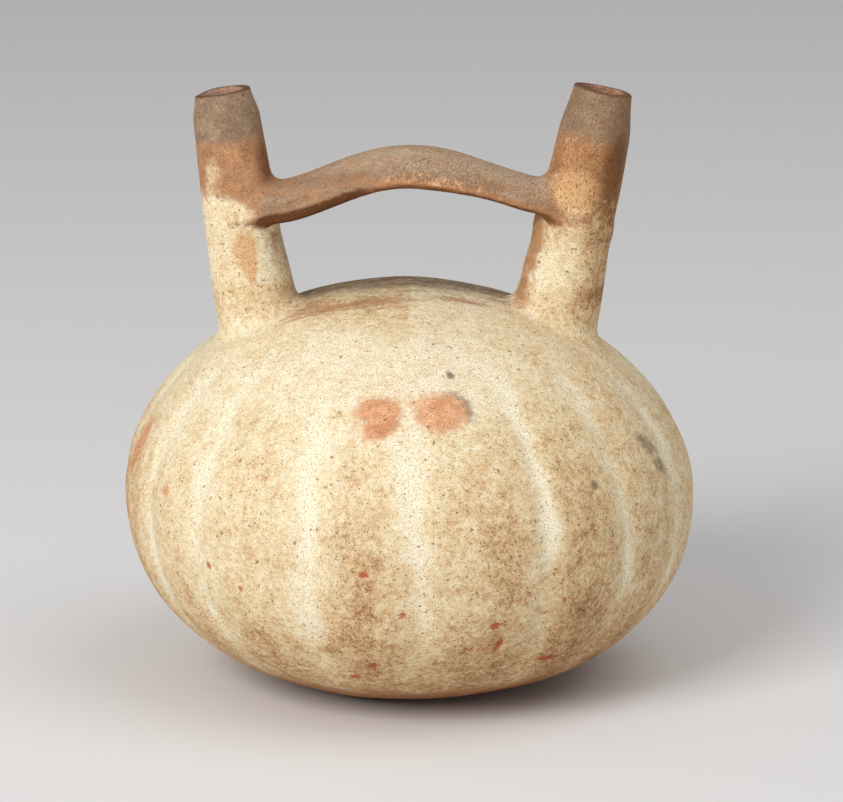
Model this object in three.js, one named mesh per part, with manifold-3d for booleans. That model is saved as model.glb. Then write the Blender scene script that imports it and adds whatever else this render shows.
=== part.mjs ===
// A fired clay bottle: a gourd-shaped lobed body, two splayed spouts and an arched strap bridge.
// Millimetres, Z up. The spouts stand along X and the photographed side faces -Y.
import * as THREE from "three";
import { mergeVertices } from "three/addons/utils/BufferGeometryUtils.js";
import loadManifold from "manifold-3d";

// Body: an upper and a lower superellipse that share one belly line, cut flat underneath
const BELLY_RADIUS = 77.5;
const BELLY_HEIGHT = 54.1;
const UPPER_HALF_HEIGHT = 54.9;
const LOWER_HALF_HEIGHT = 55.8;
const UPPER_ROUNDNESS = 1.905;
const LOWER_ROUNDNESS = 2.322;
const DEPTH_RATIO = 0.985;
const BODY_LEAN = 0.027;
const WALL = 4.8;
const BODY_RINGS = 23;

// Lobes: shallow upright segments, widest at the belly, parted by narrow valleys
const LOBE_COUNT = 16;
const FIRST_VALLEY_DEG = 1.9;
const VALLEY_DEPTH = 1.0;
const VALLEY_HALF_WIDTH = 3.2;
const LOBE_CROWN = 0.7;
const LOBE_STEPS = [0, 0.11, 0.28, 0.5, 0.72, 0.89];
const VALLEY_SHIFT_DEG = [0, 2.1, 1.4, -0.1, 0, 0, 0, 0, 0, 0, 0, 0, 0, 2.2, -3.5, 0.2];
const LOBES_FADE_TOP = [0.42, 0.8];
const LOBES_FADE_BOTTOM = [0.4, 0.78];

// Spouts: tapering tubes that lean outwards, measured along their own axis down from the mouth
const LEFT_SPOUT = {
  mouthX: -49.6, mouthZ: 161.4, leanDeg: -7.8, mouthRadius: 7.45, baseRadius: 10.4, swellLength: 8.0,
};
const RIGHT_SPOUT = {
  mouthX: 52.3, mouthZ: 162.1, leanDeg: 11.2, mouthRadius: 7.75, baseRadius: 10.8, swellLength: 13.0,
};
const SPOUT_LENGTH = 66.0;
const SPOUT_SIDES = 28;
const LIP_WALL = 1.8;
const LIP_ROUND = 0.7;
const BASE_WALL = 2.7;
const LIP_SWELL = 1.3;
const FILLET_START = 48.0;
const FILLET_FLARE = 0.9;
const BORE_LENGTH = 76.0;
const BORE_FLARE_START = 58.0;
const BORE_FLARE_END = 70.0;
const BORE_FLARE = 2.0;
const BORE_OVERRUN = 3.0;
const SPOUT_RINGS = [SPOUT_LENGTH, 60, 54, FILLET_START, 36, 24, 15, 10, 6, 3, LIP_ROUND];
const BORE_RINGS = [BORE_LENGTH, BORE_FLARE_END, 64, BORE_FLARE_START, FILLET_START, 24, 0, -BORE_OVERRUN];

// Bridge: a crowned strap that arches from spout to spout
const CREST_HEIGHT = 146.9;
const BRIDGE_END_HEIGHT = 136.3;
const ARCH_SPAN_LEFT = 42.5;
const ARCH_SPAN_RIGHT = 48.0;
const BRIDGE_HALF_WIDTH = 12.0;
const BRIDGE_END_HALF_WIDTH = 10.6;
const BRIDGE_CROWN = 6.6;
const BRIDGE_EDGE = 4.0;
const BRIDGE_END_THICKENING = 2.2;
const BRIDGE_HOLLOW = 2.2;
const BRIDGE_END_FROM = 25.0;
const BRIDGE_FROM = -46.5;
const BRIDGE_TO = 47.5;
const BRIDGE_STATIONS = 26;
const BRIDGE_SIDES = 20;
const EDGE_FULLNESS = 0.55;

const CAVITY_SIDES = 48;
const CAVITY_RINGS = 16;
const WELD_DISTANCE = 1e-4;
const CLAY_COLOUR = 0xd9c3a0;

const wasm = await loadManifold();
wasm.setup();
const { Manifold, Mesh: ManifoldMesh } = wasm;

function smoothStep(from, to, value) {
  return THREE.MathUtils.smoothstep(value, from, to);
}

// Turns a closed surface into a solid, with shared corners and without slivers of no area
function toSolid(geometry) {
  const bare = geometry.clone();
  bare.deleteAttribute("normal");
  bare.deleteAttribute("uv");
  const welded = mergeVertices(bare, WELD_DISTANCE);
  const corners = [];
  const index = welded.index.array;
  for (let i = 0; i < index.length; i += 3) {
    const [a, b, c] = [index[i], index[i + 1], index[i + 2]];
    if (a !== b && b !== c && c !== a) {
      corners.push(a, b, c);
    }
  }
  return Manifold.ofMesh(new ManifoldMesh({
    numProp: 3,
    vertProperties: new Float32Array(welded.attributes.position.array),
    triVerts: new Uint32Array(corners),
  }));
}

function toGeometry(solid) {
  const mesh = solid.getMesh();
  const geometry = new THREE.BufferGeometry();
  geometry.setAttribute("position", new THREE.BufferAttribute(mesh.vertProperties, 3));
  geometry.setIndex(new THREE.BufferAttribute(mesh.triVerts, 1));
  geometry.computeVertexNormals();
  return geometry;
}

// Moves every corner of a surface by a function of its place
function reshape(geometry, move) {
  const place = geometry.attributes.position;
  const point = new THREE.Vector3();
  for (let i = 0; i < place.count; i += 1) {
    point.fromBufferAttribute(place, i);
    move(point);
    place.setXYZ(i, point.x, point.y, point.z);
  }
  return geometry;
}

// One point of the body's profile at a latitude, drawn in by the inset all round
function bodyProfile(latitude, inset) {
  const upper = latitude >= 0;
  const power = 2 / (upper ? UPPER_ROUNDNESS : LOWER_ROUNDNESS);
  const halfHeight = upper ? UPPER_HALF_HEIGHT : LOWER_HALF_HEIGHT;
  const rise = Math.sign(latitude) * Math.abs(Math.sin(latitude)) ** power;
  const reach = Math.abs(Math.cos(latitude)) ** power;
  const radius = (BELLY_RADIUS - inset) * reach;
  const height = BELLY_HEIGHT + (halfHeight - inset) * rise;
  return new THREE.Vector2(radius, height);
}

// The latitude at which the lower profile meets the flat underside
function baseLatitude() {
  const rise = BELLY_HEIGHT / LOWER_HALF_HEIGHT;
  return -Math.asin(rise ** (LOWER_ROUNDNESS / 2));
}

function revolve(profile, sides) {
  const surface = new THREE.LatheGeometry(profile, sides);
  surface.rotateX(Math.PI / 2);
  return surface;
}

// The belly line stays centred, the underside drifts towards +X and the dome towards -X
function lean(point) {
  point.y *= DEPTH_RATIO;
  point.x += BODY_LEAN * (BELLY_HEIGHT - point.z);
}

function valleyAngle(number) {
  const around = THREE.MathUtils.euclideanModulo(number, LOBE_COUNT);
  const degrees = FIRST_VALLEY_DEG + number * 360 / LOBE_COUNT + VALLEY_SHIFT_DEG[around];
  return THREE.MathUtils.degToRad(degrees);
}

// How far the lobes are drawn at a height: full round the belly, none on the dome and underside
function lobeStrength(height) {
  const level = (height - BELLY_HEIGHT) / UPPER_HALF_HEIGHT;
  const above = 1 - smoothStep(LOBES_FADE_TOP[0], LOBES_FADE_TOP[1], level);
  const below = 1 - smoothStep(LOBES_FADE_BOTTOM[0], LOBES_FADE_BOTTOM[1], -level);
  return above * below;
}

// Depth under the full radius, for a share of the way from one valley to the next
function lobeDepth(share, radius, lobeAngle) {
  const fromMiddle = 2 * Math.abs(share - 0.5);
  const toValley = (1 - fromMiddle) * lobeAngle * radius / 2;
  const groove = VALLEY_DEPTH * Math.exp(-((toValley / VALLEY_HALF_WIDTH) ** 2));
  return groove + LOBE_CROWN * fromMiddle ** 2;
}

function drawLobes(point) {
  const steps = LOBE_STEPS.length;
  const sides = LOBE_COUNT * steps;
  const turn = Math.atan2(point.x, -point.y) / (2 * Math.PI);
  const side = THREE.MathUtils.euclideanModulo(Math.round(turn * sides), sides);
  const number = Math.floor(side / steps);
  const share = LOBE_STEPS[side % steps];
  const lobeAngle = valleyAngle(number + 1) - valleyAngle(number);
  const angle = valleyAngle(number) + share * lobeAngle;
  const radius = Math.hypot(point.x, point.y);
  const drawn = radius - lobeStrength(point.z) * lobeDepth(share, radius, lobeAngle);
  point.x = drawn * Math.sin(angle);
  point.y = -drawn * Math.cos(angle);
}

function bodySolid() {
  const start = baseLatitude();
  const profile = [new THREE.Vector2(0, 0)];
  for (let ring = 0; ring <= BODY_RINGS; ring += 1) {
    const latitude = THREE.MathUtils.lerp(start, Math.PI / 2, ring / BODY_RINGS);
    profile.push(bodyProfile(latitude, 0));
  }
  profile[1].y = 0;
  profile[BODY_RINGS + 1].x = 0;
  const surface = revolve(profile, LOBE_COUNT * LOBE_STEPS.length);
  reshape(surface, drawLobes);
  reshape(surface, lean);
  return toSolid(surface);
}

function cavitySolid() {
  const start = baseLatitude();
  const profile = [];
  for (let ring = 0; ring <= CAVITY_RINGS; ring += 1) {
    const latitude = THREE.MathUtils.lerp(start, Math.PI / 2, ring / CAVITY_RINGS);
    profile.push(bodyProfile(latitude, WALL));
  }
  profile[CAVITY_RINGS].x = 0;
  profile.unshift(new THREE.Vector2(0, profile[0].y));
  const surface = revolve(profile, CAVITY_SIDES);
  reshape(surface, lean);
  return toSolid(surface);
}

// Outer radius at a distance down from the mouth: a quick swell, a steady taper, then a flared foot
function spoutRadius(spout, down) {
  const taper = (spout.baseRadius - spout.mouthRadius - LIP_SWELL) * Math.min(1, down / FILLET_START);
  const swell = LIP_SWELL * smoothStep(0, spout.swellLength, down);
  const flare = FILLET_FLARE * smoothStep(FILLET_START, SPOUT_LENGTH, down);
  return spout.mouthRadius + taper + swell + flare;
}

function boreRadius(spout, down) {
  const fromLip = spout.mouthRadius - LIP_WALL;
  const atBase = spout.baseRadius - BASE_WALL;
  const taper = (atBase - fromLip) * Math.min(1, Math.max(0, down) / FILLET_START);
  return fromLip + taper + BORE_FLARE * smoothStep(BORE_FLARE_START, BORE_FLARE_END, down);
}

// Stands a surface drawn downwards from its mouth at the origin on the spout's leaning axis
function placeSpout(surface, spout) {
  surface.rotateY(THREE.MathUtils.degToRad(spout.leanDeg));
  surface.translate(spout.mouthX, 0, spout.mouthZ);
  return surface;
}

function spoutSolid(spout) {
  const profile = [new THREE.Vector2(0, -SPOUT_LENGTH)];
  for (const down of SPOUT_RINGS) {
    profile.push(new THREE.Vector2(spoutRadius(spout, down), -down));
  }
  profile.push(new THREE.Vector2(spout.mouthRadius - LIP_ROUND, 0));
  profile.push(new THREE.Vector2(0, 0));
  return toSolid(placeSpout(revolve(profile, SPOUT_SIDES), spout));
}

function boreSolid(spout) {
  const profile = [new THREE.Vector2(0, -BORE_LENGTH)];
  for (const down of BORE_RINGS) {
    profile.push(new THREE.Vector2(boreRadius(spout, down), -down));
  }
  profile.push(new THREE.Vector2(0, BORE_OVERRUN));
  return toSolid(placeSpout(revolve(profile, SPOUT_SIDES), spout));
}

// Height of the strap's crest line: a bell that flattens where it meets the spouts
function crestHeight(x) {
  const span = x < 0 ? ARCH_SPAN_LEFT : ARCH_SPAN_RIGHT;
  const along = Math.min(1, Math.abs(x) / span);
  const bell = (1 + Math.cos(Math.PI * along)) / 2;
  return BRIDGE_END_HEIGHT + (CREST_HEIGHT - BRIDGE_END_HEIGHT) * bell;
}

// One point of the strap's skin: crowned above, hollowed a little below, rounded at the edges
function strapPoint(x, turn) {
  const across = Math.cos(turn);
  const nearEnd = smoothStep(BRIDGE_END_FROM, ARCH_SPAN_LEFT, Math.abs(x));
  const halfWidth = THREE.MathUtils.lerp(BRIDGE_HALF_WIDTH, BRIDGE_END_HALF_WIDTH, nearEnd);
  const top = -BRIDGE_CROWN * across ** 2;
  const edge = BRIDGE_EDGE + BRIDGE_END_THICKENING * nearEnd;
  const bottom = -BRIDGE_CROWN - edge + BRIDGE_HOLLOW * (1 - across ** 2);
  const full = Math.sign(Math.sin(turn)) * Math.abs(Math.sin(turn)) ** EDGE_FULLNESS;
  const rise = (top + bottom) / 2 + full * (top - bottom) / 2;
  return new THREE.Vector3(x, halfWidth * across, crestHeight(x) + rise);
}

function bridgeSolid() {
  const surface = new THREE.CylinderGeometry(1, 1, 1, BRIDGE_SIDES, BRIDGE_STATIONS);
  surface.rotateZ(-Math.PI / 2);
  reshape(surface, (point) => {
    const x = THREE.MathUtils.lerp(BRIDGE_FROM, BRIDGE_TO, point.x + 0.5);
    const onAxis = Math.hypot(point.y, point.z) < 0.5;
    if (onAxis) {
      const above = strapPoint(x, Math.PI / 2);
      const below = strapPoint(x, -Math.PI / 2);
      point.lerpVectors(above, below, 0.5);
    } else {
      point.copy(strapPoint(x, Math.atan2(point.z, point.y)));
    }
  });
  return toSolid(surface);
}

function vesselSolid() {
  const outside = Manifold.union([
    bodySolid(),
    spoutSolid(LEFT_SPOUT),
    spoutSolid(RIGHT_SPOUT),
    bridgeSolid(),
  ]);
  const inside = Manifold.union([
    cavitySolid(),
    boreSolid(LEFT_SPOUT),
    boreSolid(RIGHT_SPOUT),
  ]);
  return outside.subtract(inside);
}

const clay = new THREE.MeshStandardMaterial({ color: CLAY_COLOUR, roughness: 0.85, metalness: 0 });
const vessel = new THREE.Mesh(toGeometry(vesselSolid()), clay);
vessel.name = "vessel";

const group = new THREE.Group();
group.name = "double_spout_bridge_vessel";
group.add(vessel);

export default group;
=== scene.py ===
"""A fired clay bottle with a lobed gourd body, two splayed spouts and an arched strap bridge.

The clay skin is one closed surface drawn from a distance function in millimetres, then scaled to metres.
Z is up, the spouts stand along X and the photographed side faces -Y.
"""
import math

import bmesh
import bpy
import numpy as np
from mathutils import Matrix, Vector


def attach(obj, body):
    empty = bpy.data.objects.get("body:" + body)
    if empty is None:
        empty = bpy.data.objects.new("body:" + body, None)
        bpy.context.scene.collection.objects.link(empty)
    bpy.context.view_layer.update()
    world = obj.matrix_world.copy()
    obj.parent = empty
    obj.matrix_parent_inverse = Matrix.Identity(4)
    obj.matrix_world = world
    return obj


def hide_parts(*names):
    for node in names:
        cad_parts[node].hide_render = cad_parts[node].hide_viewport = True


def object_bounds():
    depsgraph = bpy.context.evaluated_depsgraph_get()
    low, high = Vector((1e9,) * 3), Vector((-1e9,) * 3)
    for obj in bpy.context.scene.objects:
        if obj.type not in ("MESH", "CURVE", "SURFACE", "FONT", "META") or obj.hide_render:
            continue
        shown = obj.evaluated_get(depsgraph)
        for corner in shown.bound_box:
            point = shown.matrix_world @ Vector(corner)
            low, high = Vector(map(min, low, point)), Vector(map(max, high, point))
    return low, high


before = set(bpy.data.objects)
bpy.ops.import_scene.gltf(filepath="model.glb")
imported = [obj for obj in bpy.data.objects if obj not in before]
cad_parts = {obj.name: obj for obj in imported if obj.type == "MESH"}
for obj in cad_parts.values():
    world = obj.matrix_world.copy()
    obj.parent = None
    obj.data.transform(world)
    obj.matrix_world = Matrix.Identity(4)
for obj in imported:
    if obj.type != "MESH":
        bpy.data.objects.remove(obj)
cad_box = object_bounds()

MM = 0.001
SEED = 7
rng = np.random.default_rng(SEED)

# Body: an upper and a lower superellipse that share one belly line, cut flat underneath
BELLY_RADIUS = 77.5
BELLY_HEIGHT = 54.1
UPPER_HALF_HEIGHT = 54.9
LOWER_HALF_HEIGHT = 55.8
UPPER_ROUNDNESS = 1.905
LOWER_ROUNDNESS = 2.322
DEPTH_RATIO = 0.985
BODY_LEAN = 0.027
WALL = 4.8

# Lobes: shallow upright segments parted by narrow valleys
LOBE_COUNT = 16
FIRST_VALLEY_DEG = 1.9
VALLEY_DEPTH = 1.0
VALLEY_HALF_WIDTH = 3.6
LOBE_CROWN = 0.5
VALLEY_SHARE = (0.3, 0.5, 0.35, 0.4, 0.5, 0.5, 0.5, 0.5, 0.5, 0.5, 0.5, 0.5, 0.5, 0.45, 0.35, 0.3)
VALLEY_STREAK = (0.18, 0.42, 0.18, 0.18, 0.16, 0.16, 0.16, 0.16,
                 0.16, 0.16, 0.16, 0.16, 0.16, 0.14, 0.15, 0.16)
VALLEY_SHIFT_DEG = (0, 3.7, 1.4, -0.1, 0, 0, 0, 0, 0, 0, 0, 0, 0, 2.2, -3.5, 0.2)
LOBES_FADE_TOP = (0.42, 0.80)
LOBES_FADE_BOTTOM = (0.40, 0.78)
LEFT_SLIM = 0.7

# Spouts: tapering tubes that lean outwards, measured along their own axis down from the mouth
LEFT_SPOUT = {"mouth_x": -49.7, "mouth_z": 161.8, "lean_deg": -7.8,
              "mouth_radius": 7.45, "base_radius": 10.4, "swell_length": 8.0, "foot_shift": 0.9}
RIGHT_SPOUT = {"mouth_x": 52.3, "mouth_z": 162.1, "lean_deg": 11.2,
               "mouth_radius": 7.75, "base_radius": 10.8, "swell_length": 13.0, "foot_shift": 0.0}
SPOUT_LENGTH = 66.0
TAPER_LENGTH = 48.0
LIP_WALL = 1.8
BASE_WALL = 2.7
LIP_SWELL = 1.3
FOOT_FLARE = 0.9
FOOT_FLARE_FROM = 34.0
FOOT_FLARE_TO = 62.0
BORE_LENGTH = 76.0
BORE_FLARE_START = 58.0
BORE_FLARE_END = 70.0
BORE_FLARE = 2.0

# Bridge: a crowned strap that arches from spout to spout
CREST_HEIGHT = 146.9
BRIDGE_END_HEIGHT = 136.3
ARCH_SPAN_LEFT = 42.5
ARCH_SPAN_RIGHT = 48.0
BRIDGE_HALF_WIDTH = 12.0
BRIDGE_LEFT_END_HALF_WIDTH = 9.3
BRIDGE_RIGHT_END_HALF_WIDTH = 9.8
BRIDGE_CROWN = 6.6
BRIDGE_EDGE = 4.0
BRIDGE_HOLLOW = 2.2
BRIDGE_MIDDLE_LIFT = 0.6
BRIDGE_RIGHT_LIFT = 1.3
BRIDGE_LEFT_LIFT = 1.4
BRIDGE_CROWN_SHARE = 0.7
BRIDGE_END_FROM = 25.0
BRIDGE_FROM = -46.5
BRIDGE_TO = 47.5
BRIDGE_EDGE_ROUND = 1.6

# Soft joints in the clay, as blend widths
SPOUT_FILLET = 4.0
BRIDGE_FILLET = 4.0
UNDER_BRIDGE_FILLET = 8.0
UNDER_LEFT_SHARE = 0.15
UNDER_FRONT_LOSS = 0.35
BASE_ROUND = 1.6
LIP_ROUND = 0.7
INSIDE_ROUND = 4.0

# Hand-made unevenness: slow waves in the skin, and worn dips in the lips as (turn, half turn, depth)
WAVE_COUNT = 12
WAVE_LENGTHS = (22.0, 60.0)
WAVE_HEIGHT = 0.22
LEFT_LIP_DIPS = ((-112.0, 34.0, 0.7), (-60.0, 25.0, 0.3))
RIGHT_LIP_DIPS = ((20.0, 22.0, 0.3), (95.0, 20.0, 0.2))

# Mesh
GRID_STEP = 1.2
GRID_MARGIN = 2.8
FIRST_SWELL = 0.45
FIT_ROUNDS = 3
INSIDE_TRIANGLES = 16000
RIM_DEPTH = 12.0
HIDDEN_REACH = 0.3
HIDDEN_TOP = 130.0

# Clay and slip colours as they look in plain light, on a scale of 255, and the skin's gloss and bumps
SLIP = (252, 242, 213)
CREAM = (241, 222, 183)
BUFF = (227, 196, 150)
TAN = (197, 153, 110)
UMBER = (142, 104, 72)
EMBER = ((202, 134, 90), (224, 160, 115), (238, 186, 146))
RUST = ((150, 97, 61), (173, 118, 78), (195, 142, 99))
# The smoke tints also lay painted shade on the back of the dome's top
SMOKE_AND_SHADE_TINTS = ((135, 112, 91), (147, 124, 101), (163, 140, 117))
DUST = (198, 177, 152)
RUBBED = (221, 174, 122)
# Dark brown laid on as painted shade under the strap, on the spouts' right sides and at the back of the
# dome, and on the lips
SHADE_AND_LIP_BROWN = (80, 44, 18)
RAW_CLAY = (186, 148, 126)
PALE_GRIT = (236, 216, 186)
BROWN_GRIT = (136, 94, 56)
DARK_GRIT = (98, 66, 40)
RED_GRIT = (190, 84, 52)
GRAIN_SHADE = (140, 112, 80)
WHITE = (255, 255, 255)
SPECULAR = 0.1
BUMP_STRENGTH = 0.4
BUMP_HEIGHT = 0.25

# Marks on the body: turn from the viewer's side, height, half width, half height, lean in mm a mm, strength
BODY_EMBER = (
    (-6.4, 87.5, 6.2, 3.0, 0.0, 1.0),
    (-5.6, 84.4, 4.6, 3.0, 0.5, 1.0),
    (8.8, 86.9, 6.8, 4.0, 0.0, 1.0),
    (-77.0, 68.0, 4.4, 8.0, 0.0, 0.9),
    (-78.0, 50.5, 3.2, 3.8, 0.0, 0.8),
    (-56.7, 61.9, 1.5, 1.4, 0.0, 1.0),
)
BODY_SMOKE = (
    (14.2, 88.4, 3.4, 3.4, -0.4, 0.75),
    (14.0, 94.6, 1.2, 0.9, 0.0, 0.8),
    (-12.3, 94.5, 0.9, 0.7, 0.0, 0.45),
    (41.0, 67.0, 1.3, 1.2, 0.0, 0.95),
    (62.0, 72.4, 4.0, 4.2, -0.5, 0.63),
    (63.5, 66.8, 3.4, 3.8, -0.3, 0.65),
)
BODY_RED = (
    (17.2, 33.1, 1.2, 1.2, 0.3, 1.0),
    (18.7, 26.8, 0.9, 2.2, 0.3, 1.0),
    (12.7, 26.4, 0.9, 1.2, 0.5, 0.7),
    (32.4, 19.9, 2.6, 0.9, 0.9, 0.9),
    (-8.6, 48.5, 1.2, 1.0, 0.0, 1.0),
    (-11.6, 59.6, 1.0, 0.9, 0.0, 0.6),
    (12.5, 69.4, 1.2, 0.9, 0.0, 0.55),
    (-43.1, 45.5, 0.9, 1.0, 0.0, 1.0),
    (-35.3, 40.7, 0.9, 0.9, 0.0, 0.8),
    (-13.5, 35.9, 1.0, 0.9, 0.0, 0.6),
    (-1.6, 37.3, 1.0, 0.9, 0.0, 0.9),
    (9.6, 44.0, 1.8, 0.9, 0.3, 0.5),
    (-8.6, 20.9, 1.6, 0.8, 0.0, 0.9),
    (-13.9, 16.2, 1.8, 0.8, 0.0, 0.8),
    (32.1, 38.2, 0.9, 1.0, 0.0, 0.8),
)
BODY_WORN = (
    (-12.0, 28.4, 7.0, 3.2, 0.0, 0.22),
    (-18.7, 25.0, 4.5, 1.2, 0.0, 0.22),
    (36.9, 36.6, 6.5, 3.4, 0.3, 0.10),
    (20.0, 52.0, 4.0, 16.0, 0.0, 0.16),
    (-10.0, 45.0, 5.0, 14.0, 0.0, 0.20),
)
BODY_PALE = (
    (-20.8, 34.3, 3.6, 8.0, 0.0, 0.14),
    (-22.0, 63.0, 7.0, 8.0, 0.0, 0.12),
    (0.0, 80.0, 4.0, 12.0, 0.0, 0.12),
    (0.0, 96.0, 34.0, 8.0, 0.0, 0.10),
)

# Pale streaks down the valleys: how far they wander, their width, and where each one fades at its foot
WANDER_WIDTH = 1.3
STREAK_HALF_WIDTH = 2.7
STREAK_FADE = 20.0
STREAK_FOOT = (14, 43, 24, 20, 14, 14, 14, 14, 14, 14, 14, 14, 14, 14, 14, 14)

# Bands of colour on the spouts start well above the mouth
ABOVE_MOUTH = -60.0

# Rubbed places on the spouts: turn, distance down, half width, half length and narrowing downwards
RUBBED_JOINT = (-16.0, 27.0, 7.5, 6.5, 0.0)
RUBBED_DROP = (3.0, 45.0, 2.8, 8.8, 0.85)

# Marks on the dome between the spouts: x, y, half length and half width
DOME_RUST = (
    (-9.5, -16.0, 14.0, 5.0),
    (13.0, -12.3, 10.0, 2.6),
    (-25.0, -14.0, 10.0, 6.5),
    (31.0, -4.0, 4.0, 5.0),
)

# Light and view
PHOTO_WIDTH = 843
PIXELS_PER_MM = 3.68
VIEW_DISTANCE = 1200.0
VIEW_ELEVATION_DEG = 13.2
VIEW_PIVOT = (0.0, 0.0, 82.0)
VIEW_AIM = (3.67, 0.0, 76.3)
SENSOR_WIDTH = 36.0
CLIP_END = 20.0
LIGHT_AIM = (0.0, 0.0, 0.08)
KEY_TURN_DEG = -36.0
KEY_RISE_DEG = 31.0
KEY_DISTANCE = 1.9
KEY_SIZE = 0.9
KEY_POWER = 26.0
TOP_TURN_DEG = 65.0
TOP_RISE_DEG = 60.0
TOP_DISTANCE = 2.0
TOP_SIZE = 1.6
TOP_POWER = 10.5
SKY_COLOUR = (0.37, 0.365, 0.36)
FLOOR_HALF_SIZE = 6.0
FLOOR_COLOUR = (0.78, 0.775, 0.78)
FLOOR_ROUGHNESS = 0.9


def smooth_step(low, high, value):
    """0 below low, 1 above high, and an even S between them."""
    share = np.clip((value - low) / (high - low), 0.0, 1.0)
    return share * share * (3.0 - 2.0 * share)


def join(first, second, width):
    """The distance to two joined forms, with a fillet of about that width."""
    overlap = np.maximum(width - np.abs(first - second), 0.0) / width
    return np.minimum(first, second) - overlap * overlap * width / 4.0


def cut(first, second, width):
    """The distance to the first form with the second taken out of it."""
    return -join(-first, second, width)


def valley_angles():
    """The valleys' angles from the viewer's side towards +X, over two turns."""
    step = 360.0 / LOBE_COUNT
    numbers = np.arange(-LOBE_COUNT, LOBE_COUNT + 1)
    shifts = np.array(VALLEY_SHIFT_DEG)[numbers % LOBE_COUNT]
    return np.radians(FIRST_VALLEY_DEG + numbers * step + shifts)


def make_waves():
    """Seeded slow waves: their directions in radians a millimetre, and their starts."""
    direction = rng.normal(size=(WAVE_COUNT, 3))
    direction /= np.linalg.norm(direction, axis=1)[:, None]
    length = rng.uniform(*WAVE_LENGTHS, WAVE_COUNT)
    return direction * (2.0 * math.pi / length)[:, None], rng.uniform(0.0, 2.0 * math.pi, WAVE_COUNT)


VALLEYS = valley_angles()
WAVES, WAVE_STARTS = make_waves()


def unevenness(x, y, z):
    """How far the hand-made skin stands in or out."""
    total = np.zeros_like(x)
    for wave, start in zip(WAVES, WAVE_STARTS):
        total += np.sin(wave[0] * x + wave[1] * y + wave[2] * z + start)
    return WAVE_HEIGHT * total / math.sqrt(WAVE_COUNT)


def upright(x, z):
    """x with the body's slight lean taken out."""
    return x - BODY_LEAN * (BELLY_HEIGHT - z)


def lobe_strength(z):
    """How far the lobes are drawn at a height."""
    level = (z - BELLY_HEIGHT) / UPPER_HALF_HEIGHT
    above = 1.0 - smooth_step(*LOBES_FADE_TOP, level)
    below = 1.0 - smooth_step(*LOBES_FADE_BOTTOM, -level)
    return above * below


def around_body(x, y, z):
    """The turn round the body's axis from the viewer's side, in radians, and the distance from the axis."""
    flat_x = upright(x, z)
    flat_y = y / DEPTH_RATIO
    return np.arctan2(flat_x, -flat_y), np.hypot(flat_x, flat_y)


def valley_distance(x, y, z):
    """Millimetres to the nearest valley, the share of the way from crown to valley, and its number."""
    angle, radius = around_body(x, y, z)
    after = np.searchsorted(VALLEYS, angle)
    lobe_angle = VALLEYS[after] - VALLEYS[after - 1]
    share = (angle - VALLEYS[after - 1]) / lobe_angle
    from_middle = 2.0 * np.abs(share - 0.5)
    nearest = np.where(share < 0.5, after - 1, after) % LOBE_COUNT
    return (1.0 - from_middle) * lobe_angle * radius / 2.0, from_middle, nearest


def gourd(x, y, z, inset):
    """The distance to the plain body, drawn in by the inset all round."""
    radius = np.hypot(upright(x, z), y / DEPTH_RATIO) + 1e-6
    level = z - BELLY_HEIGHT
    half_height = np.where(level >= 0.0, UPPER_HALF_HEIGHT, LOWER_HALF_HEIGHT) - inset
    power = np.where(level >= 0.0, UPPER_ROUNDNESS, LOWER_ROUNDNESS)
    rise = np.abs(level) + 1e-6
    across_part = (radius / (BELLY_RADIUS - inset)) ** power
    rise_part = (rise / half_height) ** power
    size = (across_part + rise_part) ** (1.0 / power)
    shrink = size ** (1.0 - power)
    slope = np.hypot(shrink * across_part / radius, shrink * rise_part / rise)
    return (size - 1.0) / slope


def body(x, y, z):
    """The distance to the lobed body with its flat underside."""
    away, from_middle, nearest = valley_distance(x, y, z)
    depth = VALLEY_DEPTH * np.array(VALLEY_SHARE)[nearest]
    groove = depth * np.exp(-((away / VALLEY_HALF_WIDTH) ** 2))
    lobes = lobe_strength(z) * (groove + LOBE_CROWN * from_middle ** 2)
    turn, _ = around_body(x, y, z)
    level = np.clip((z - BELLY_HEIGHT) / UPPER_HALF_HEIGHT, -1.0, 1.0)
    slim = LEFT_SLIM * smooth_step(0.4, 0.95, -np.sin(turn)) * np.sin(math.pi * level) ** 2
    return cut(gourd(x, y, z, 0.0) + lobes + slim, z, BASE_ROUND)


def along_spout(x, y, z, spout):
    """How far down a spout's axis a point is, how far from it, and its turn from the viewer's side."""
    lean = math.radians(spout["lean_deg"])
    across_x = x - spout["mouth_x"]
    across_z = z - spout["mouth_z"]
    down = -math.sin(lean) * across_x - math.cos(lean) * across_z
    foot = smooth_step(FOOT_FLARE_FROM, FOOT_FLARE_TO, down)
    side = math.cos(lean) * across_x - math.sin(lean) * across_z - spout["foot_shift"] * foot
    return down, np.hypot(side, y), np.arctan2(side, -y)


def turn_gap(turn, centre_deg):
    """Radians from a turn to another, the short way round."""
    return (turn - math.radians(centre_deg) + math.pi) % (2.0 * math.pi) - math.pi


def lip_depth(turn, dips):
    """How far the worn lip lies under the mouth's plane."""
    depth = np.zeros_like(turn)
    for centre_deg, half_turn_deg, dip in dips:
        share = turn_gap(turn, centre_deg) / math.radians(half_turn_deg)
        depth += dip * np.exp(-share * share)
    return depth


def spout_outside(x, y, z, spout, dips):
    """The distance to a spout without its bore."""
    down, radius, turn = along_spout(x, y, z, spout)
    growth = spout["base_radius"] - spout["mouth_radius"] - LIP_SWELL
    taper = growth * np.clip(down / TAPER_LENGTH, 0.0, 1.0)
    swell = LIP_SWELL * smooth_step(0.0, spout["swell_length"], down)
    flare = FOOT_FLARE * smooth_step(FOOT_FLARE_FROM, FOOT_FLARE_TO, down)
    tube = radius - (spout["mouth_radius"] + taper + swell + flare)
    tube = np.maximum(tube, down - SPOUT_LENGTH)
    return cut(tube, down - lip_depth(turn, dips), LIP_ROUND)


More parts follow.
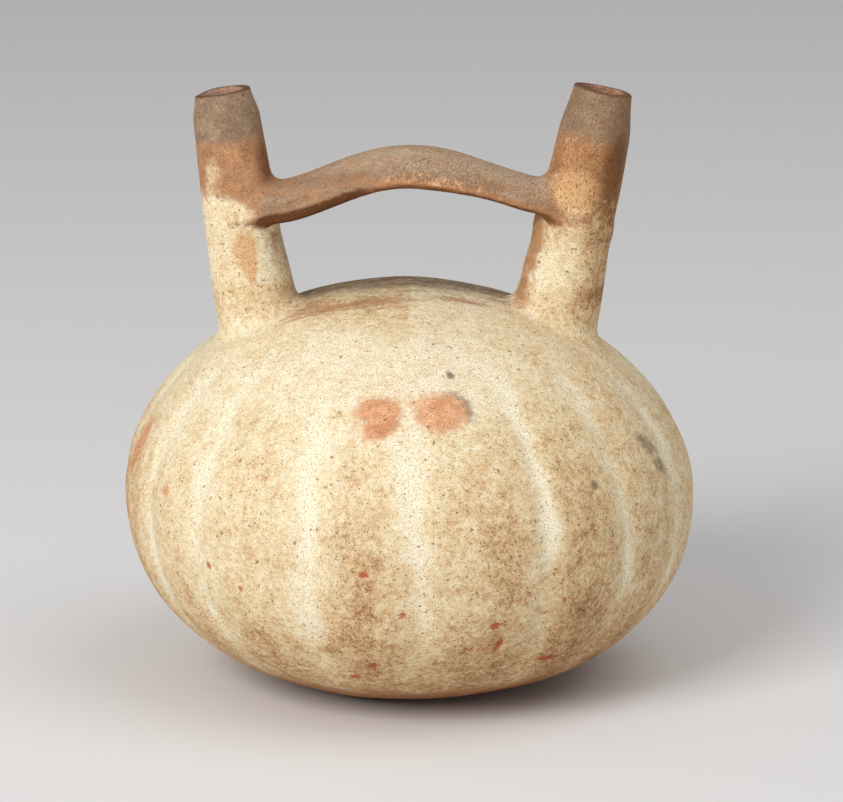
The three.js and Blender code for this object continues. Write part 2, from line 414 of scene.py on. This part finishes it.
def spout_inside(x, y, z, spout):
    """The distance to a spout's bore."""
    down, radius, _ = along_spout(x, y, z, spout)
    at_lip = spout["mouth_radius"] - LIP_WALL
    at_base = spout["base_radius"] - BASE_WALL
    taper = (at_base - at_lip) * np.clip(down / TAPER_LENGTH, 0.0, 1.0)
    flare = BORE_FLARE * smooth_step(BORE_FLARE_START, BORE_FLARE_END, down)
    bore = radius - (at_lip + taper + flare)
    return np.maximum(bore, down - BORE_LENGTH)


def crest_height(x):
    """Height of the strap's crest line: a bell that flattens where it meets the spouts."""
    span = np.where(x < 0.0, ARCH_SPAN_LEFT, ARCH_SPAN_RIGHT)
    along = np.minimum(1.0, np.abs(x) / span)
    bell = (1.0 + np.cos(math.pi * along)) / 2.0
    return BRIDGE_END_HEIGHT + (CREST_HEIGHT - BRIDGE_END_HEIGHT) * bell


def strap_across(x, y):
    """The strap's half width at a place along it, and how far across it a point is, squared."""
    near_end = smooth_step(BRIDGE_END_FROM, ARCH_SPAN_LEFT, np.abs(x))
    end_half_width = np.where(x < 0.0, BRIDGE_LEFT_END_HALF_WIDTH, BRIDGE_RIGHT_END_HALF_WIDTH)
    half_width = BRIDGE_HALF_WIDTH + (end_half_width - BRIDGE_HALF_WIDTH) * near_end
    return half_width, np.clip(np.abs(y) / half_width, 0.0, 1.2) ** 2


def bridge_lift(x):
    """How far the strap's underside is raised: a little in the middle and more towards its ends."""
    middle = BRIDGE_MIDDLE_LIFT * smooth_step(-30.0, -5.0, x)
    left = BRIDGE_LEFT_LIFT * smooth_step(32.0, 44.0, -x)
    right = BRIDGE_RIGHT_LIFT * smooth_step(5.0, 28.0, x)
    return left + middle + right


def bridge_crown(x):
    """How far the strap's top falls from its crest to its edges."""
    return BRIDGE_CROWN - BRIDGE_CROWN_SHARE * bridge_lift(x)


def bridge(x, y, z):
    """The distance to the strap."""
    half_width, across = strap_across(x, y)
    top = -bridge_crown(x) * across
    bottom = bridge_lift(x) - BRIDGE_CROWN - BRIDGE_EDGE + BRIDGE_HOLLOW * (1.0 - across)
    rise = z - crest_height(x) - (top + bottom) / 2.0
    side_gap = np.abs(y) - (half_width - BRIDGE_EDGE_ROUND)
    rise_gap = np.abs(rise) - ((top - bottom) / 2.0 - BRIDGE_EDGE_ROUND)
    outside = np.hypot(np.maximum(side_gap, 0.0), np.maximum(rise_gap, 0.0))
    strap = outside + np.minimum(np.maximum(side_gap, rise_gap), 0.0) - BRIDGE_EDGE_ROUND
    ends = np.maximum(BRIDGE_FROM - x, x - BRIDGE_TO)
    return np.maximum(strap, ends)


def strap_depth(x, y, z):
    """How far a point lies under the strap's crowned top."""
    _, across = strap_across(x, y)
    return crest_height(x) - bridge_crown(x) * across - z


def both_spouts(x, y, z):
    """The distance to the nearer spout, without its bore."""
    left = spout_outside(x, y, z, LEFT_SPOUT, LEFT_LIP_DIPS)
    right = spout_outside(x, y, z, RIGHT_SPOUT, RIGHT_LIP_DIPS)
    return np.minimum(left, right)


def vessel_inside(x, y, z):
    """The distance to the hollow: the cavity and both bores."""
    floor = WALL - z
    cavity = np.maximum(gourd(x, y, z, WALL), floor)
    hollow = join(cavity, spout_inside(x, y, z, LEFT_SPOUT), INSIDE_ROUND)
    return join(hollow, spout_inside(x, y, z, RIGHT_SPOUT), INSIDE_ROUND)


def vessel(x, y, z):
    """The distance to the whole fired clay bottle, below zero in the clay."""
    under_end = smooth_step(20.0, 32.0, np.abs(x)) * (1.0 - smooth_step(124.0, 132.0, z))
    front_loss = UNDER_FRONT_LOSS * smooth_step(4.0, 9.0, -y)
    under_end = under_end * np.where(x < 0.0, UNDER_LEFT_SHARE, 1.0) * (1.0 - front_loss)
    fillet = BRIDGE_FILLET + UNDER_BRIDGE_FILLET * under_end
    handle = join(both_spouts(x, y, z), bridge(x, y, z), fillet)
    outside = join(body(x, y, z), handle, SPOUT_FILLET)
    above_base = smooth_step(0.0, BASE_ROUND, z)
    outside = outside + above_base * unevenness(x, y, z)
    return cut(outside, vessel_inside(x, y, z), LIP_ROUND)


def grid_axis(low, high):
    """Evenly spaced places that reach past both ends."""
    count = int(math.ceil((high - low + 2 * GRID_MARGIN) / GRID_STEP))
    return low - GRID_MARGIN + GRID_STEP * np.arange(count + 1)


def sample(axes):
    """The distance at every grid point, worked out in slices to save memory."""
    xs, ys, zs = axes
    field = np.empty((len(xs), len(ys), len(zs)), np.float32)
    for i, x in enumerate(xs):
        y, z = np.meshgrid(ys, zs, indexing="ij")
        field[i] = vessel(np.full_like(y, x), y, z)
    return field


def surface_net(field, axes):
    """Corners and four-sided faces of the zero surface, one corner in each grid cell that it crosses."""
    inside = field < 0.0
    shape = np.array(field.shape) - 1
    total = np.zeros((*shape, 3))
    count = np.zeros(shape, np.int32)
    corner_offsets = [(i, j, k) for i in (0, 1) for j in (0, 1) for k in (0, 1)]
    for start in corner_offsets:
        for axis in range(3):
            if start[axis]:
                continue
            end = tuple(start[n] + (n == axis) for n in range(3))
            here = tuple(slice(start[n], start[n] + shape[n]) for n in range(3))
            there = tuple(slice(end[n], end[n] + shape[n]) for n in range(3))
            crossed = inside[here] != inside[there]
            cells = np.nonzero(crossed)
            first = field[here][cells]
            second = field[there][cells]
            place = np.tile(np.array(start, float), (len(first), 1))
            place[:, axis] += first / (first - second)
            np.add.at(total, cells, place)
            np.add.at(count, cells, 1)
    active = count > 0
    number = np.full(shape, -1, np.int64)
    number[active] = np.arange(active.sum())
    cell_place = np.argwhere(active) + total[active] / count[active][:, None]
    origin = np.array([axis[0] for axis in axes])
    corners = origin + cell_place * GRID_STEP

    faces = []
    for axis in range(3):
        after = [slice(None)] * 3
        before = [slice(None)] * 3
        after[axis] = slice(1, None)
        before[axis] = slice(None, -1)
        crossed = inside[tuple(before)] != inside[tuple(after)]
        edges = np.argwhere(crossed)
        leaving = inside[tuple(before)][crossed]
        u, v = [n for n in range(3) if n != axis]
        ring = []
        for step_u, step_v in ((-1, -1), (0, -1), (0, 0), (-1, 0)):
            cell = edges.copy()
            cell[:, u] += step_u
            cell[:, v] += step_v
            ring.append(number[tuple(cell.T)])
        quad = np.stack(ring, axis=1)
        turn_back = leaving if axis == 1 else ~leaving
        quad[turn_back] = quad[turn_back][:, ::-1]
        faces.append(quad)
    return corners, np.concatenate(faces)


def slope_at(points, reach=0.05):
    """The direction in which the distance grows, by small steps along each axis."""
    columns = []
    for axis in range(3):
        ahead = points.copy()
        behind = points.copy()
        ahead[:, axis] += reach
        behind[:, axis] -= reach
        columns.append((vessel(*ahead.T) - vessel(*behind.T)) / (2.0 * reach))
    return np.stack(columns, axis=1)


def settle(points):
    """Moves points onto the zero surface."""
    slope = slope_at(points)
    steep = np.maximum((slope ** 2).sum(axis=1), 0.05)
    step = np.clip(vessel(*points.T) / steep, -GRID_STEP, GRID_STEP)
    return points - slope * step[:, None]


def relax(points, faces):
    """Evens out the spacing of the corners: each moves halfway to the mean of its neighbours."""
    total = np.zeros_like(points)
    count = np.zeros(len(points))
    for turn in (1, 3):
        neighbour = np.roll(faces, turn, axis=1)
        np.add.at(total, faces.ravel(), points[neighbour.ravel()])
        np.add.at(count, faces.ravel(), 1)
    return (points + total / count[:, None]) / 2.0


def make_skin():
    """The bottle's corners in millimetres, and its faces."""
    low = np.array(cad_box[0]) / MM
    high = np.array(cad_box[1]) / MM
    axes = [grid_axis(low[n], high[n]) for n in range(3)]
    points, faces = surface_net(sample(axes) - FIRST_SWELL, axes)
    for _ in range(FIT_ROUNDS):
        points = settle(relax(points, faces))
    return settle(points), faces


def make_piece(points, faces):
    """One object from the corners and faces."""
    mesh = bpy.data.meshes.new("vessel_skin")
    mesh.from_pydata((points * MM).tolist(), [], faces.tolist())
    mesh.update()
    piece = bpy.data.objects.new("vessel_clay", mesh)
    bpy.context.scene.collection.objects.link(piece)
    return piece


def corners_of(mesh):
    """A mesh's corners in millimetres."""
    places = np.empty(len(mesh.vertices) * 3, np.float32)
    mesh.vertices.foreach_get("co", places)
    return places.reshape(-1, 3).astype(float) / MM


def thin_out_inside(piece, points, faces):
    """Leaves fewer triangles on the hidden inside, and all of them outside."""
    hidden = np.abs(vessel_inside(*points.T)) < HIDDEN_REACH
    hidden &= points[:, 2] < HIDDEN_TOP
    group = piece.vertex_groups.new(name="inside")
    group.add(np.flatnonzero(hidden).tolist(), 1.0, "REPLACE")
    hidden_faces = int(hidden[faces].all(axis=1).sum())
    kept = 2 * (len(faces) - hidden_faces) + INSIDE_TRIANGLES
    modifier = piece.modifiers.new("thin_out", "DECIMATE")
    modifier.ratio = kept / (2 * len(faces))
    modifier.vertex_group = "inside"
    modifier.vertex_group_factor = 1000.0
    depsgraph = bpy.context.evaluated_depsgraph_get()
    thinned = bpy.data.meshes.new_from_object(piece.evaluated_get(depsgraph))
    piece.modifiers.clear()
    piece.vertex_groups.clear()
    piece.data = thinned


def refine_rims(mesh):
    """Halves the edges round both mouths and settles the new corners, so that the thin lips stay round."""
    work = bmesh.new()
    work.from_mesh(mesh)
    rim_height = (min(LEFT_SPOUT["mouth_z"], RIGHT_SPOUT["mouth_z"]) - RIM_DEPTH) * MM
    near = [edge for edge in work.edges if all(v.co.z > rim_height for v in edge.verts)]
    bmesh.ops.subdivide_edges(work, edges=near, cuts=1, use_grid_fill=True)
    work.to_mesh(mesh)
    work.free()
    points = corners_of(mesh)
    rim = points[:, 2] * MM > rim_height
    points[rim] = settle(settle(points[rim]))
    mesh.vertices.foreach_set("co", (points * MM).astype(np.float32).ravel())
    mesh.polygons.foreach_set("use_smooth", np.ones(len(mesh.polygons), bool))
    mesh.update()


def oval(across, along, half_across, half_along):
    """1 in the middle of a soft oval mark, a half on its rim and nearly 0 well outside."""
    reach = (across / half_across) ** 2 + (along / half_along) ** 2
    return 1.0 / (1.0 + reach * reach)


def body_marks(x, y, z, marks):
    """The strongest of some oval marks on the body."""
    turn, radius = around_body(x, y, z)
    strongest = np.zeros_like(x)
    for turn_deg, height, half_width, half_height, lean, strength in marks:
        along = z - height
        across = turn_gap(turn, turn_deg) * radius - lean * along
        strongest = np.maximum(strongest, strength * oval(across, along, half_width, half_height))
    return strongest


def spout_mark(x, y, z, spout, turn_deg, down_at, half_width, half_length, taper=0.0):
    """An oval mark on a spout, by its turn and distance down from the mouth, that may narrow downwards."""
    down, radius, turn = along_spout(x, y, z, spout)
    along = (down - down_at) / half_length
    narrowing = np.clip(1.0 - taper * along, 0.2, 2.0)
    return oval(turn_gap(turn, turn_deg) * radius / narrowing, down - down_at, half_width, half_length)


def dome_marks(x, y, marks):
    """The strongest of some oval wipe marks on the dome."""
    strongest = np.zeros_like(x)
    for mark_x, mark_y, half_length, half_width in marks:
        strongest = np.maximum(strongest, oval(x - mark_x, y - mark_y, half_length, half_width))
    return strongest


def band(value, low, high, softness):
    """A half at both ends of a stretch, rising inside it and falling outside it."""
    return np.clip(0.5 + np.minimum(value - low, high - value) / (2.0 * softness), 0.0, 1.0)


def slip_wear_and_shade(x, y, z):
    """How far the pale slip is worn: little in the valleys and more on the lobes, darker towards the
    bottom, with painted shade on the right spout's right side.
    """
    wander = WANDER_WIDTH * np.sin(z / 8.0 + x / 11.0)
    away, from_middle, nearest = valley_distance(x + wander, y, z)
    below_shoulder = 1.0 - smooth_step(60.0, 92.0, z)
    above_foot = (z - np.array(STREAK_FOOT)[nearest]) / STREAK_FADE
    streak_ends = smooth_step(0.0, 1.0, above_foot) * (1.0 - smooth_step(84.0, 99.0, z))
    streak_width = STREAK_HALF_WIDTH * (1.0 + 0.3 * np.sin(z / 9.0 + 2.4 * nearest))
    streak_strength = np.array(VALLEY_STREAK)[nearest] * (1.0 + 0.5 * np.sin(z / 8.5 + 1.7 * nearest))
    streak = streak_strength * np.exp(-((away / streak_width) ** 2)) * streak_ends
    wear_and_shade = 0.31 + 0.15 * below_shoulder * (1.0 - from_middle ** 2) - streak
    wear_and_shade += 0.24 * (1.0 - smooth_step(4.0, 48.0, z))
    right_side = 0.13 * smooth_step(16.0, 48.0, x) - 0.11 * smooth_step(46.0, 68.0, x)
    wear_and_shade += right_side - 0.04 * smooth_step(0.0, 50.0, -x)
    wear_and_shade += 0.18 * smooth_step(64.0, 75.0, -x)
    wear_and_shade += 0.16 * smooth_step(99.0, 106.0, z) * (1.0 - smooth_step(109.0, 112.0, z))
    right_down, _, right_turn = along_spout(x, y, z, RIGHT_SPOUT)
    on_right = (x >= 0.0) * smooth_step(100.0, 108.0, z)
    brown_top = 0.38 * band(right_down, ABOVE_MOUTH, 38.0, 9.0)
    # painted shade on the right spout's right side
    right_spout_side_shade = 0.30 * smooth_step(-0.1, 0.8, right_turn)
    wear_and_shade += on_right * (brown_top + right_spout_side_shade - 0.14)
    return wear_and_shade + body_marks(x, y, z, BODY_WORN) - body_marks(x, y, z, BODY_PALE)


def rust_field(x, y, z, on_bridge):
    """The red-brown on the bridge, on the upper spouts and wiped over the dome."""
    left_down, _, left_turn = along_spout(x, y, z, LEFT_SPOUT)
    right_down, _, _ = along_spout(x, y, z, RIGHT_SPOUT)
    left_end = 27.0 + 6.0 * smooth_step(-1.0, 0.7, left_turn)
    left = (x < 0.0) * band(left_down, ABOVE_MOUTH, left_end, 5.0)
    left = left - 0.46 * spout_mark(x, y, z, LEFT_SPOUT, -34.0, 20.5, 3.4, 3.6)
    left = left - 0.40 * spout_mark(x, y, z, LEFT_SPOUT, -8.0, 30.0, 3.0, 2.0)
    right = (x >= 0.0) * 0.70 * band(right_down, ABOVE_MOUTH, 30.0, 7.0)
    rust = np.maximum(np.maximum(left, right), on_bridge)
    rust = np.maximum(rust, 0.5 * spout_mark(x, y, z, LEFT_SPOUT, 49.0, 43.0, 3.0, 6.5, 0.5))
    rust = np.maximum(rust, 0.74 * spout_mark(x, y, z, RIGHT_SPOUT, -68.0, 44.0, 5.0, 18.0))
    on_dome = smooth_step(98.0, 102.0, z) * (1.0 - smooth_step(109.0, 112.0, z))
    rust = np.maximum(rust, 0.64 * dome_marks(x, y, DOME_RUST) * on_dome)
    return np.maximum(rust, 0.85 * (1.0 - smooth_step(4.0, 17.0, z)))


def smoke_and_shade_field(x, y, z, on_bridge, on_body):
    """The grey-brown fire clouds at the spouts' tops, on the bridge and on the top of the dome, where the
    dome's cloud grows towards the back as painted shade.
    """
    left_down, _, _ = along_spout(x, y, z, LEFT_SPOUT)
    right_down, _, right_turn = along_spout(x, y, z, RIGHT_SPOUT)
    left = (x < 0.0) * band(left_down, ABOVE_MOUTH, 12.5, 3.4)
    grey_end = 12.5 + 8.0 * smooth_step(0.3, 1.0, right_turn)
    right = (x >= 0.0) * band(right_down, ABOVE_MOUTH, grey_end, 5.5)
    strap = on_bridge * (0.50 + 0.10 * smooth_step(-30.0, 10.0, x))
    strap = strap * (1.0 - smooth_step(0.5, 2.5, strap_depth(x, y, z)))
    # a grey-brown cloud on the dome's top, partly its own colour and partly painted shade that deepens
    # towards the back
    dome = 0.62 * smooth_step(-20.0, 4.0, y) * smooth_step(99.0, 105.0, z) * on_body
    smoke_and_shade = np.maximum(np.maximum(left, right), np.maximum(strap, dome))
    return np.maximum(smoke_and_shade, body_marks(x, y, z, BODY_SMOKE) * on_body)


def dust_field(x, y, z, on_bridge):
    """The pale grey veil on the strap's crest and right end, and on the left joint."""
    along = 0.34 + 0.20 * smooth_step(-32.0, 0.0, x) + 0.12 * smooth_step(12.0, 30.0, x)
    _, across = strap_across(x, y)
    crest = on_bridge * along * (1.0 - 0.4 * smooth_step(0.3, 0.9, across))
    crest = crest * (1.0 - smooth_step(0.5, 2.5, strap_depth(x, y, z)))
    joint = 0.40 * oval(np.hypot(x + 39.0, y + 7.0), z - 134.0, 4.0, 3.5)
    return np.maximum(crest, joint)


def shade_and_lip_field(x, y, z, on_bridge, on_body):
    """Painted shade in dark brown under the strap's top edge, on the spouts' right sides and at the back of
    the dome's top, and the dark brown on the lips.
    """
    left_down, _, left_turn = along_spout(x, y, z, LEFT_SPOUT)
    right_down, _, right_turn = along_spout(x, y, z, RIGHT_SPOUT)
    under_top = strap_depth(x, y, z)
    # painted shade in dark brown below the strap's top: deep along its left part and lighter along its
    # whole underside
    left_edge = smooth_step(0.0, 1.6, under_top) * (1.0 - smooth_step(-16.0, -4.0, x))
    left_edge = left_edge * (1.0 - 0.22 * smooth_step(2.2, 3.6, under_top))
    whole_edge = 0.66 * smooth_step(1.0, 2.6, under_top)
    edge = on_bridge * np.maximum(0.95 * left_edge, whole_edge)
    left_lip = 1.0 - smooth_step(0.0, 1.1, left_down - lip_depth(left_turn, LEFT_LIP_DIPS))
    right_lip = 1.0 - smooth_step(0.0, 0.9, right_down - lip_depth(right_turn, RIGHT_LIP_DIPS))
    lip = np.where(x < 0.0, left_lip, right_lip)
    # painted shade on the right-hand sides of both spouts
    right_spout_shade = 0.60 * spout_mark(x, y, z, RIGHT_SPOUT, 44.0, 19.0, 5.0, 11.0)
    left_spout_shade = 0.52 * spout_mark(x, y, z, LEFT_SPOUT, 70.0, 20.0, 5.0, 9.0)
    # painted shade at the back of the dome's top
    dome = 0.46 * smooth_step(-10.0, 6.0, y) * smooth_step(101.0, 105.0, z) * on_body
    spouts = np.maximum(np.maximum(0.6 * lip, left_spout_shade), right_spout_shade)
    return np.maximum(np.maximum(edge, dome), spouts)


def colour_fields(x, y, z):
    """Where each colour lies on the clay, by name. A half is the edge of a colour."""
    spout_gap = both_spouts(x, y, z)
    bridge_gap = bridge(x, y, z)
    body_gap = body(x, y, z)
    off_spouts = smooth_step(-3.0, 2.0, spout_gap - bridge_gap)
    on_bridge = off_spouts * smooth_step(-3.0, 3.0, body_gap - bridge_gap)
    on_body = smooth_step(-4.0, 4.0, np.minimum(spout_gap, bridge_gap) - body_gap)
    ember = body_marks(x, y, z, BODY_EMBER) * on_body
    joint = spout_mark(x, y, z, RIGHT_SPOUT, *RUBBED_JOINT)
    drop = spout_mark(x, y, z, LEFT_SPOUT, *RUBBED_DROP)
    front_edge = on_bridge * oval(x - 6.0, y + BRIDGE_HALF_WIDTH, 20.0, 1.1)
    return {
        "wear_and_shade": slip_wear_and_shade(x, y, z),
        "rust": rust_field(x, y, z, on_bridge),
        "smoke_and_shade": smoke_and_shade_field(x, y, z, on_bridge, on_body),
        "ember": np.maximum(ember, 0.40 * front_edge),
        "rubbed": np.maximum(0.72 * joint, 0.90 * drop),
        "dust": dust_field(x, y, z, on_bridge),
        "shade_and_lips": shade_and_lip_field(x, y, z, on_bridge, on_body),
        "raw": 1.0 - smooth_step(0.25, 0.8, np.abs(vessel_inside(x, y, z))),
        "red": body_marks(x, y, z, BODY_RED) * on_body,
    }


def write_fields(mesh):
    """Stores every colour field on the mesh, for the clay material to read."""
    for name, values in colour_fields(*corners_of(mesh).T).items():
        layer = mesh.attributes.new(name, "FLOAT", "POINT")
        layer.data.foreach_set("value", values.astype(np.float32))


def paint(colour):
    """A colour on the scale of 255 as the linear values that a shader takes."""
    values = [channel / 255.0 for channel in colour]
    linear = [v / 12.92 if v <= 0.04045 else ((v + 0.055) / 1.055) ** 2.4 for v in values]
    return (*linear, 1.0)


class Graph:
    """Short names for the shader nodes that the clay uses."""

    def __init__(self, material):
        material.use_nodes = True
        self.tree = material.node_tree
        self.tree.nodes.clear()
        self.place = self.node("ShaderNodeTexCoord").outputs["Object"]

    def node(self, kind, inputs=None, **settings):
        made = self.tree.nodes.new(kind)
        for name, value in settings.items():
            setattr(made, name, value)
        for name, value in (inputs or {}).items():
            if isinstance(value, bpy.types.NodeSocket):
                self.tree.links.new(value, made.inputs[name])
            else:
                made.inputs[name].default_value = value
        return made

    def field(self, name):
        return self.node("ShaderNodeAttribute", attribute_name=name).outputs["Fac"]

    def noise(self, size, detail, roughness=0.55, place=None):
        """Cloudy noise with features of that many millimetres, from 0 to 1 about a half."""
        inputs = {
            "Vector": place or self.place,
            "Scale": 1.0 / (size * MM),
            "Detail": detail,
            "Roughness": roughness,
        }
        return self.node("ShaderNodeTexNoise", inputs).outputs["Fac"]

    def drawn_out(self, times):
        """Places squeezed along X, so that a pattern on them is drawn out that many times."""
        inputs = {"Vector": self.place, "Scale": (1.0 / times, 1.0, 1.0)}
        return self.node("ShaderNodeMapping", inputs).outputs["Vector"]

    def math(self, operation, first, second):
        return self.node("ShaderNodeMath", {0: first, 1: second}, operation=operation).outputs[0]

    def shifted(self, value, noise, strength):
        """The value with noise about a half laid over it."""
        inputs = {0: noise, 1: strength, 2: -strength / 2.0}
        swing = self.node("ShaderNodeMath", inputs, operation="MULTIPLY_ADD").outputs[0]
        return self.math("ADD", value, swing)

    def span(self, value, low, high, most, least=0.0):
        """The least below low, the most above high, and an even S between them."""
        inputs = {"Value": value, "From Min": low, "From Max": high, "To Min": least, "To Max": most}
        return self.node("ShaderNodeMapRange", inputs, interpolation_type="SMOOTHSTEP").outputs["Result"]

    def mix(self, share, first, second, blend="MIX"):
        inputs = {0: share, 6: first, 7: second}
        return self.node("ShaderNodeMix", inputs, data_type="RGBA", blend_type=blend).outputs[2]

    def ramp(self, value, stops):
        made = self.node("ShaderNodeValToRGB", {"Fac": value})
        elements = made.color_ramp.elements
        while len(elements) < len(stops):
            elements.new(0.5)
        for element, (position, colour) in zip(elements, stops):
            element.position = position
            element.color = paint(colour)
        return made.outputs["Color"]

    def specks(self, size, low, high, most):
        """Irregular specks of about that many millimetres: fewer of them the higher the limits."""
        return self.span(self.noise(size, 1.5, 0.5), low, high, most)


def clay_material():
    """Speckled cream slip over buff clay, with terracotta, rust, smoke and dark lips where the fields say,
    and painted shade under the strap, on the spouts' right sides and on the back of the dome.
    """
    material = bpy.data.materials.new("clay")
    graph = Graph(material)
    clouds = graph.noise(26.0, 4.0)
    mottle = graph.noise(6.0, 6.0, 0.66)
    strokes = graph.noise(3.0, 5.0, 0.62, graph.drawn_out(5.0))
    crumbs = graph.noise(1.5, 4.0, 0.65)
    grain = graph.noise(0.40, 2.0, 0.6)

    # Ground colour from slip to umber by the slip's wear, with painted shade on the right spout's right
    # side
    wear_and_shade = graph.shifted(graph.field("wear_and_shade"), clouds, 0.28)
    wear_and_shade = graph.shifted(wear_and_shade, mottle, 0.78)
    wear_and_shade = graph.shifted(wear_and_shade, crumbs, 0.65)
    wear_and_shade = graph.shifted(wear_and_shade, grain, 0.75)
    colour = graph.ramp(wear_and_shade, ((0.10, SLIP), (0.34, CREAM), (0.56, BUFF), (0.78, TAN), (1.0, UMBER)))

    def lay(colour, name, tint, most, edge_noise, ragged, grainy):
        """Lays a tint over the colour where its field passes a half, with a soft ragged edge."""
        edge = graph.shifted(graph.field(name), edge_noise, ragged)
        edge = graph.shifted(edge, crumbs, grainy)
        edge = graph.shifted(edge, grain, grainy)
        return graph.mix(graph.span(edge, 0.24, 0.76, most), colour, tint)

    def varied(tints):
        """A tint that wanders from its darker to its lighter side."""
        return graph.ramp(graph.shifted(mottle, crumbs, 0.35), tuple(zip((0.36, 0.50, 0.64), tints)))

    colour = lay(colour, "rust", varied(RUST), 0.92, strokes, 0.8, 0.6)
    # smoke greys, with painted shade on the back of the dome's top
    colour = lay(colour, "smoke_and_shade", varied(SMOKE_AND_SHADE_TINTS), 0.92, strokes, 0.7, 0.5)
    colour = lay(colour, "dust", paint(DUST), 0.70, strokes, 0.6, 0.5)
    colour = lay(colour, "rubbed", paint(RUBBED), 0.86, strokes, 0.4, 0.4)
    colour = lay(colour, "ember", varied(EMBER), 0.94, mottle, 0.5, 1.0)
    colour = lay(colour, "raw", paint(RAW_CLAY), 0.95, mottle, 0.1, 0.2)
    colour = lay(colour, "red", paint(RED_GRIT), 0.88, mottle, 0.2, 0.2)

    shade = graph.ramp(grain, ((0.30, GRAIN_SHADE), (0.53, WHITE)))
    fired_and_shaded = graph.math("MAXIMUM", graph.field("rust"), graph.field("smoke_and_shade"))
    colour = graph.mix(graph.span(fired_and_shaded, 0.2, 0.6, 0.40, 0.72), colour, shade, "MULTIPLY")
    colour = graph.mix(graph.specks(0.42, 0.56, 0.76, 0.32), colour, paint(PALE_GRIT))
    # Dark brown: painted shade under the strap, on the spouts' right sides and at the back of the dome, and
    # the dark lips
    colour = lay(colour, "shade_and_lips", paint(SHADE_AND_LIP_BROWN), 0.92, mottle, 0.5, 0.4)
    worn_grit = graph.shifted(graph.noise(0.52, 2.0, 0.6), wear_and_shade, 0.30)
    brown = graph.span(worn_grit, 0.585, 0.69, 0.78)
    dark = graph.specks(1.2, 0.67, 0.74, 0.65)
    red = graph.specks(2.2, 0.79, 0.82, 0.60)
    colour = graph.mix(brown, colour, paint(BROWN_GRIT))
    colour = graph.mix(dark, colour, paint(DARK_GRIT))
    colour = graph.mix(red, colour, paint(RED_GRIT))

    height = graph.math("ADD", grain, mottle)
    height = graph.math("SUBTRACT", height, brown)
    bump_inputs = {"Strength": BUMP_STRENGTH, "Distance": BUMP_HEIGHT * MM, "Height": height}
    bump = graph.node("ShaderNodeBump", bump_inputs)
    roughness = graph.span(mottle, 0.2, 0.8, 0.86, 0.64)
    shader = graph.node("ShaderNodeBsdfPrincipled", {
        "Base Color": colour,
        "Roughness": roughness,
        "Specular IOR Level": SPECULAR,
        "Normal": bump.outputs["Normal"],
    })
    output = graph.node("ShaderNodeOutputMaterial", {"Surface": shader.outputs["BSDF"]})
    output.is_active_output = True
    return material


def plain_material(name, colour, roughness):
    """One matt colour, for the floor."""
    material = bpy.data.materials.new(name)
    material.use_nodes = True
    shader = material.node_tree.nodes["Principled BSDF"]
    shader.inputs["Base Color"].default_value = (*colour, 1.0)
    shader.inputs["Roughness"].default_value = roughness
    return material


def add_camera():
    """A camera at the photograph's viewpoint and framing."""
    elevation = math.radians(VIEW_ELEVATION_DEG)
    pivot = Vector(VIEW_PIVOT) * MM
    away = Vector((0.0, -math.cos(elevation), math.sin(elevation)))
    data = bpy.data.cameras.new("camera")
    camera = bpy.data.objects.new("camera", data)
    bpy.context.scene.collection.objects.link(camera)
    camera.location = pivot + away * VIEW_DISTANCE * MM
    direction = Vector(VIEW_AIM) * MM - camera.location
    camera.rotation_euler = direction.to_track_quat("-Z", "Y").to_euler()
    data.sensor_fit = "HORIZONTAL"
    data.sensor_width = SENSOR_WIDTH
    data.lens = PIXELS_PER_MM * VIEW_DISTANCE / PHOTO_WIDTH * SENSOR_WIDTH
    data.clip_end = CLIP_END
    bpy.context.scene.camera = camera


def add_light(name, turn_deg, rise_deg, distance, size, power):
    """A square soft light, by its turn from the viewer's side and its rise over the floor."""
    data = bpy.data.lights.new(name, "AREA")
    data.energy = power
    data.size = size
    turn = math.radians(turn_deg)
    rise = math.radians(rise_deg)
    towards = Vector((math.sin(turn) * math.cos(rise), -math.cos(turn) * math.cos(rise), math.sin(rise)))
    light = bpy.data.objects.new(name, data)
    light.location = Vector(LIGHT_AIM) + towards * distance
    light.rotation_euler = towards.to_track_quat("Z", "Y").to_euler()
    bpy.context.scene.collection.objects.link(light)


def add_floor():
    """A plain pale floor."""
    half = FLOOR_HALF_SIZE
    mesh = bpy.data.meshes.new("floor")
    corners = [(-half, -half, 0), (half, -half, 0), (half, half, 0), (-half, half, 0)]
    mesh.from_pydata(corners, [], [(0, 1, 2, 3)])
    mesh.materials.append(plain_material("pale_floor", FLOOR_COLOUR, FLOOR_ROUGHNESS))
    floor = bpy.data.objects.new("floor", mesh)
    bpy.context.scene.collection.objects.link(floor)


def set_sky():
    """Even pale light from all round, and colours shown as they are lit."""
    scene = bpy.context.scene
    scene.world = bpy.data.worlds.new("studio")
    scene.world.use_nodes = True
    background = scene.world.node_tree.nodes["Background"]
    background.inputs["Color"].default_value = (*SKY_COLOUR, 1.0)
    scene.view_settings.view_transform = "Standard"


points, faces = make_skin()
piece = make_piece(points, faces)
thin_out_inside(piece, points, faces)
refine_rims(piece.data)
write_fields(piece.data)
piece.data.materials.clear()
piece.data.materials.append(clay_material())

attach(piece, "root")
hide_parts("vessel")

add_camera()
add_floor()
add_light("key", KEY_TURN_DEG, KEY_RISE_DEG, KEY_DISTANCE, KEY_SIZE, KEY_POWER)
add_light("top", TOP_TURN_DEG, TOP_RISE_DEG, TOP_DISTANCE, TOP_SIZE, TOP_POWER)
set_sky()
